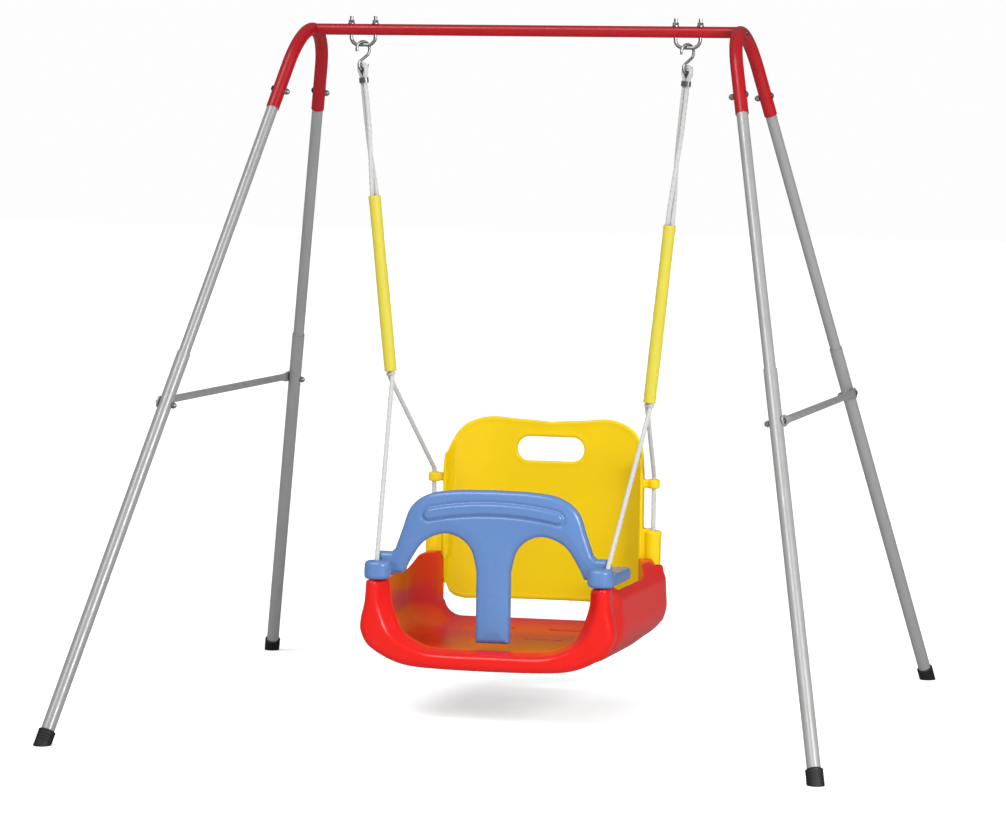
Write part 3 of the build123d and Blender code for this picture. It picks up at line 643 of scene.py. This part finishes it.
def binding(name, side):
    """A thin cord wound round both strands just above the place where they part."""
    rope = Rope(side)
    line = []
    for t in np.linspace(0, BINDING_TURNS * FULL_TURN, 130):
        # straight from strand to strand, round at the two ends
        wide = STRAND * max(-1, min(1, 1.5 * math.cos(t))) + BINDING_R * math.cos(t)
        low = rope.length - BINDING_ABOVE_SPLIT
        centre = rope.at(wide, low + BINDING_HEIGHT * t / (BINDING_TURNS * FULL_TURN))
        line.append(centre + rope.out * BINDING_R * math.sin(t))
    return merged(name, [swept(line, braid(BINDING_CORD_R, 3.0, 6), 14)])


def grip_piece(name, side):
    """Soft sleeve: slightly flattened and rippled by the two strands inside it."""
    rope = Rope(side)
    low = rope.length - GRIP_ABOVE_SPLIT
    end = [(0.0, 9.4), (0.7, 10.2), (2.5, 10.6)]
    outer = end + [(d, 10.35) for d in np.arange(6, 295, 3.0)]
    outer += [(GRIP_LENGTH - d, r) for d, r in reversed(end)]
    inner = [(299.6, 8.9), (296, 8.7), (4, 8.7), (0.4, 8.9)]
    around = 48
    turn = np.arange(around) * FULL_TURN / around
    rings = []
    for far, r in outer + inner:
        ring = np.full(around, r)
        if r > 9:
            inside = math.sin(math.pi * far / GRIP_LENGTH) ** 0.3
            ring = ring + 0.28 * np.cos(2 * turn + far / 48.0) * inside
            ring = ring + 0.12 * np.sin(far / 5.5 + 2.0 * np.sin(turn)) * inside
        rings.append(rope.ring(rope.at(0, low - far), turn, ring))
    rows = [*range(len(rings)), 0]
    # up the outside and down the inside, so the faces are turned over to look outwards
    faces = [(q[0], q[3], q[2], q[1]) for q in ring_faces(rows, around)]
    return merged(name, [(np.concatenate(rings), faces)])


# ---------------------------------------------------------------- materials
class Nodes:
    """Short names for building a node tree."""

    def __init__(self, tree):
        self.tree = tree

    def add(self, kind):
        return self.tree.nodes.new("ShaderNode" + kind)

    def link(self, source, target):
        self.tree.links.new(source, target)

    def ray(self, kind):
        return self.add("LightPath").outputs[kind]

    def times(self, a, b):
        made = self.add("Math")
        made.operation = "MULTIPLY"
        self.link(a, made.inputs[0])
        self.link(b, made.inputs[1])
        return made.outputs[0]

    def remap(self, value, low, high, start=0.0, end=1.0):
        made = self.add("MapRange")
        made.inputs["From Min"].default_value = start
        made.inputs["From Max"].default_value = end
        made.inputs["To Min"].default_value = low
        made.inputs["To Max"].default_value = high
        self.link(value, made.inputs["Value"])
        return made.outputs["Result"]


class Shader(Nodes):
    """A new material's node tree, built round its Principled BSDF."""

    def __init__(self, name):
        self.material = bpy.data.materials.new(name)
        self.material.use_nodes = True
        super().__init__(self.material.node_tree)
        self.bsdf = self.tree.nodes["Principled BSDF"]
        self.place = self.add("TexCoord").outputs["Object"]

    def set(self, **values):
        """Plain values of the BSDF, named with _ for a space."""
        for name, value in values.items():
            self.bsdf.inputs[name.replace("_", " ")].default_value = value

    def noise(self, scale, detail, stretch=(1, 1, 1)):
        mapping = self.add("Mapping")
        mapping.inputs["Scale"].default_value = stretch
        self.link(self.place, mapping.inputs["Vector"])
        made = self.add("TexNoise")
        made.inputs["Scale"].default_value = scale
        made.inputs["Detail"].default_value = detail
        self.link(mapping.outputs["Vector"], made.inputs["Vector"])
        return made.outputs["Fac"]

    def lit(self, base, value):
        """Base colour made lighter or darker by a value, 1 leaving it alone; returns its node."""
        made = self.add("HueSaturation")
        made.inputs["Color"].default_value = (*base, 1)
        self.link(value, made.inputs["Value"])
        self.link(made.outputs["Color"], self.bsdf.inputs["Base Color"])
        return made

    def colour(self, base, drift, noise):
        """Base colour that drifts with a noise; returns its node."""
        return self.lit(base, self.remap(noise, 1 - drift, 1 + drift, 0.25, 0.75))

    def roughness(self, value, low, high, start=0.35, end=0.7):
        self.link(self.remap(value, low, high, start, end), self.bsdf.inputs["Roughness"])

    def bump(self, height, depth):
        made = self.add("Bump")
        made.inputs["Strength"].default_value = 1.0
        made.inputs["Distance"].default_value = depth * MM
        self.link(height, made.inputs["Height"])
        self.link(made.outputs["Normal"], self.bsdf.inputs["Normal"])


def plastic(name, base, rough, gloss, grain=0.003, through=0.0):
    """Moulded plastic: faint cloudiness, a fine grain and slightly uneven gloss."""
    s = Shader(name)
    tint = s.colour(base, 0.02, s.noise(7, 3))
    # light thrown on things further off than a hand's width carries little of the colour
    reach = s.remap(s.ray("Ray Length"), 0.0, 1.0, 0.05, 0.11)
    far = s.times(s.ray("Is Diffuse Ray"), reach)
    s.link(s.remap(far, 1.0, 0.05), tint.inputs["Saturation"])
    s.roughness(s.noise(16, 2), rough - 0.02, rough + 0.03)
    s.bump(s.noise(900, 1), grain)
    s.set(Specular_IOR_Level=gloss, Subsurface_Weight=through,
          Subsurface_Scale=0.004, Subsurface_Radius=(1, 1, 1))
    return s.material


def paint(name, base, rough, metal, coat):
    """Powder coat on tube: slight orange peel, and rubbed patches along the tube."""
    s = Shader(name)
    s.colour(base, 0.05, s.noise(22, 5, (1, 1, 0.3)))
    s.roughness(s.noise(60, 6), rough - 0.06, rough + 0.1)
    s.bump(s.noise(420, 2), 0.05)
    s.set(Metallic=metal, Specular_IOR_Level=0.3, Coat_Weight=coat, Coat_Roughness=0.15)
    return s.material


def plated(name, base, rough):
    """Plated steel: cloudy spangle and small tool marks."""
    s = Shader(name)
    s.colour(base, 0.14, s.noise(130, 3))
    s.roughness(s.noise(260, 4), rough - 0.08, rough + 0.14, start=0.3)
    s.bump(s.noise(700, 3), 0.06)
    s.set(Metallic=1.0)
    return s.material


def rubber(name, base):
    """Moulded rubber: dull, dusty in patches and finely pitted."""
    s = Shader(name)
    s.colour(base, 0.25, s.noise(45, 5))
    s.roughness(s.noise(90, 4), 0.5, 0.75, 0.0, 1.0)
    s.bump(s.noise(600, 3), 0.12)
    return s.material


def cord(name, base):
    """Braided fibre: the strands are in the mesh, the fuzz is in the bump and the sheen."""
    s = Shader(name)
    s.colour(base, 0.07, s.noise(240, 4))
    s.roughness(s.noise(300, 3), 0.7, 0.9, 0.0, 1.0)
    s.bump(s.noise(1500, 2), 0.15)
    s.set(Sheen_Weight=0.25)
    return s.material


# each material slot of the record: its kind, its base colour, then what that kind asks for
FINISHES = {
    "red_plastic": (plastic, (0.60, 0.008, 0.005), 0.24, 0.3),
    "yellow_plastic": (plastic, (0.72, 0.49, 0.001), 0.36, 0.22),
    "blue_plastic": (plastic, (0.088, 0.178, 0.39), 0.27, 0.5),
    "red_paint": (paint, (0.30, 0.0025, 0.007), 0.34, 0.0, 0.04),
    "grey_paint": (paint, (0.285, 0.287, 0.284), 0.34, 0.25, 0.12),
    "zinc": (plated, (0.40, 0.40, 0.41), 0.38),
    "dark_zinc": (plated, (0.15, 0.135, 0.125), 0.5),
    "black_rubber": (rubber, (0.004, 0.004, 0.0045)),
    "white_rope": (cord, (0.46, 0.46, 0.45)),
    "ferrule_metal": (plated, (0.32, 0.32, 0.32), 0.4),
    "yellow_sleeve": (plastic, (0.55, 0.475, 0.05), 0.5, 0.25, 0.08, 0.2),
}
MATERIALS = {slot: kind(slot, *look) for slot, (kind, *look) in FINISHES.items()}
CREASE = math.radians(32)


def dress(piece, slot, body, node):
    """Gives a piece its finish and its body, in place of the CAD node it stands for."""
    piece.data.materials.append(MATERIALS[slot])
    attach(piece, body)
    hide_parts(node)


def dress_cad():
    """Gives each CAD node the finish that the record names, with its sharp edges kept."""
    slots = {part["node"]: part["material_slot"] for part in frame["record"]["subparts"]}
    for name, node in NODES.items():
        node.data.materials.clear()
        node.data.materials.append(MATERIALS[slots[name]])
        node.data.shade_smooth()
        node.modifiers.new("edges", "EDGE_SPLIT").split_angle = CREASE


# ---------------------------------------------------------------- camera, light and floor
CAM_PLACE = Vector((1.5971, -6.7513, 0.9942))
CAM_YAW = 0.23609
CAM_PITCH = 0.07158
CAM_ROLL = 0.014087
CAM_LENS = 147.21
CAM_SENSOR = 36.0
CAM_CLIP = 100.0

KEY_FROM = (-0.30, -0.55, 0.78)
KEY_ENERGY = 1.3
KEY_SPREAD = math.radians(26)
NEAR_ENERGY = 85.0
NEAR_PLACE = (2.3, -2.2, 1.5)
NEAR_TARGET = (0.1, -0.3, 0.5)
NEAR_SIZE = 1.2
SKY_DARK = 0.08
SKY_LIGHT = 0.80
SKY_SEEN = 0.985
SKY_MIRRORED = 0.5
FLOOR_HALF = 30.0
FLOOR_GREY = (0.84, 0.84, 0.84)
FLOOR_MIRRORED = 0.2
FLOOR_GLOW = 0.05
FLOOR_GLOW_SEEN = 0.37


def camera():
    level = Vector((math.cos(CAM_YAW), math.sin(CAM_YAW), 0))
    ahead = Vector((-math.sin(CAM_YAW), math.cos(CAM_YAW), 0))
    forward = ahead * math.cos(CAM_PITCH) - Vector((0, 0, math.sin(CAM_PITCH)))
    up = level.cross(forward)
    right = level * math.cos(CAM_ROLL) + up * math.sin(CAM_ROLL)
    up = up * math.cos(CAM_ROLL) - level * math.sin(CAM_ROLL)
    data = bpy.data.cameras.new("camera")
    data.lens = CAM_LENS
    data.sensor_width = CAM_SENSOR
    data.clip_end = CAM_CLIP
    cam = bpy.data.objects.new("camera", data)
    turn = Matrix((right, up, -forward)).transposed().to_4x4()
    cam.matrix_world = Matrix.Translation(CAM_PLACE) @ turn
    bpy.context.scene.collection.objects.link(cam)
    bpy.context.scene.camera = cam


def lamp(kind, name, energy, place, target):
    data = bpy.data.lights.new(name, kind)
    data.energy = energy
    made = bpy.data.objects.new(name, data)
    made.location = place
    made.rotation_euler = (Vector(target) - Vector(place)).to_track_quat("-Z", "Y").to_euler()
    bpy.context.scene.collection.objects.link(made)
    return data


def sky():
    """White to the camera; to everything else a soft light, strongest from front left above."""
    world = bpy.data.worlds.new("world")
    bpy.context.scene.world = world
    world.use_nodes = True
    s = Nodes(world.node_tree)
    toward = s.add("VectorMath")
    toward.operation = "DOT_PRODUCT"
    toward.inputs[1].default_value = unit(KEY_FROM)
    s.link(s.add("TexCoord").outputs["Generated"], toward.inputs[0])
    soft = s.remap(toward.outputs["Value"], SKY_DARK, SKY_LIGHT, -1.0, 1.0)
    # glossy surfaces mirror it dimmer than it shines
    mirrored_by = s.remap(s.ray("Is Glossy Ray"), 1.0, SKY_MIRRORED)
    pick = s.add("Mix")
    s.link(s.ray("Is Camera Ray"), pick.inputs["Factor"])
    s.link(s.times(soft, mirrored_by), pick.inputs["A"])
    pick.inputs["B"].default_value = SKY_SEEN
    background = world.node_tree.nodes["Background"]
    s.link(pick.outputs["Result"], background.inputs["Strength"])
    background.inputs["Color"].default_value = (1, 1, 1, 1)


def floor():
    """Pale sheet with a glow of its own; a glossy surface mirrors it darker."""
    corners = [(-FLOOR_HALF, -FLOOR_HALF, 0), (FLOOR_HALF, -FLOOR_HALF, 0),
               (FLOOR_HALF, FLOOR_HALF, 0), (-FLOOR_HALF, FLOOR_HALF, 0)]
    sheet = new_object("floor", corners, [(0, 1, 2, 3)])
    s = Shader("floor")
    s.lit(FLOOR_GREY, s.remap(s.ray("Is Glossy Ray"), 1.0, FLOOR_MIRRORED))
    s.set(Roughness=0.9, Specular_IOR_Level=0.1, Emission_Color=(1, 1, 1, 1))
    glow = s.remap(s.ray("Is Camera Ray"), FLOOR_GLOW, FLOOR_GLOW_SEEN)
    s.link(glow, s.bsdf.inputs["Emission Strength"])
    sheet.data.materials.append(s.material)


def studio():
    bpy.context.scene.view_settings.view_transform = "Standard"
    sky()
    floor()
    lamp("SUN", "key", KEY_ENERGY, Vector(KEY_FROM) * 5, (0, 0, 0)).angle = KEY_SPREAD
    near = lamp("AREA", "near", NEAR_ENERGY, NEAR_PLACE, NEAR_TARGET)
    near.shape = "DISK"
    near.size = NEAR_SIZE


# ---------------------------------------------------------------- the whole set
dress_cad()
dress(field_mesh("seat", *seat_field()), "red_plastic", "swing", "seat_shell")
dress(field_mesh("back", *back_field()), "yellow_plastic", "swing", "backrest")
dress(field_mesh("guard_bar", *bar_field()), "blue_plastic", "guard", "t_bar")
for word, side in SIDES.items():
    dress(rope_piece(f"{word}_cord", side), "white_rope", "swing", f"{word}_rope")
    dress(binding(f"{word}_binding", side), "white_rope", "swing", f"{word}_strand_clamp")
    dress(grip_piece(f"{word}_sleeve", side), "yellow_sleeve", f"{word}_hand_grip", f"{word}_grip")
    for place, end in (("front", -1), ("back", 1)):
        cap = foot_cap(f"{word}_{place}_cap", side, end)
        dress(cap, "black_rubber", "frame", f"{word}_{place}_foot")
camera()
studio()
